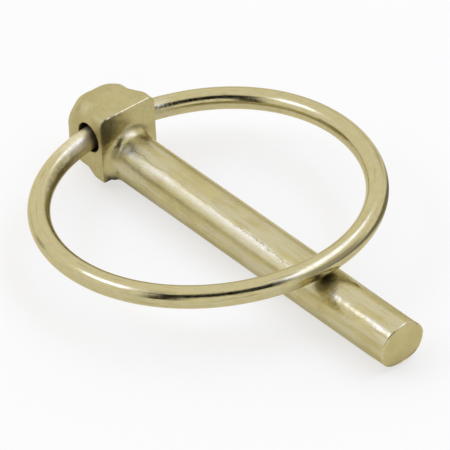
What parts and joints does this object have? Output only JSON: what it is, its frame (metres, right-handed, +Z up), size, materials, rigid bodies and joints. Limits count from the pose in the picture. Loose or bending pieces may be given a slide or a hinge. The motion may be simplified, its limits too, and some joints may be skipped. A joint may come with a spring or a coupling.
{
  "type": "lynch pin",
  "caption": "Plated steel lynch pin: a round sheared shank with a forged, domed head and a loose wire ring that swings in a cross hole through the head.",
  "frame": {"origin": "the point where the shank's axis meets the plane of the head's flat under-face", "axes": "+X along the shank from the head to the tip, Y along the cross hole, +Z up, from the shank's axis towards the cross hole, as the pin lies with its ring on top"},
  "size_m": [0.1034, 0.0757, 0.0176],
  "materials": {
    "plated_steel": "pale khaki-gold zinc plating on a forged surface, satin",
    "plated_wire": "pale khaki-gold zinc plating on drawn wire, brighter than the pin"
  },
  "bodies": {
    "pin": {"pin": "plated_steel"},
    "ring": {"ring": "plated_wire"}
  },
  "joints": [
    {"name": "ring_swing", "type": "hinge", "parent": "pin", "child": "ring", "pos_m": [-0.00485, 0, 0.0053], "axis": [0, -1, 0], "range_deg": [0, 345]}
  ]
}
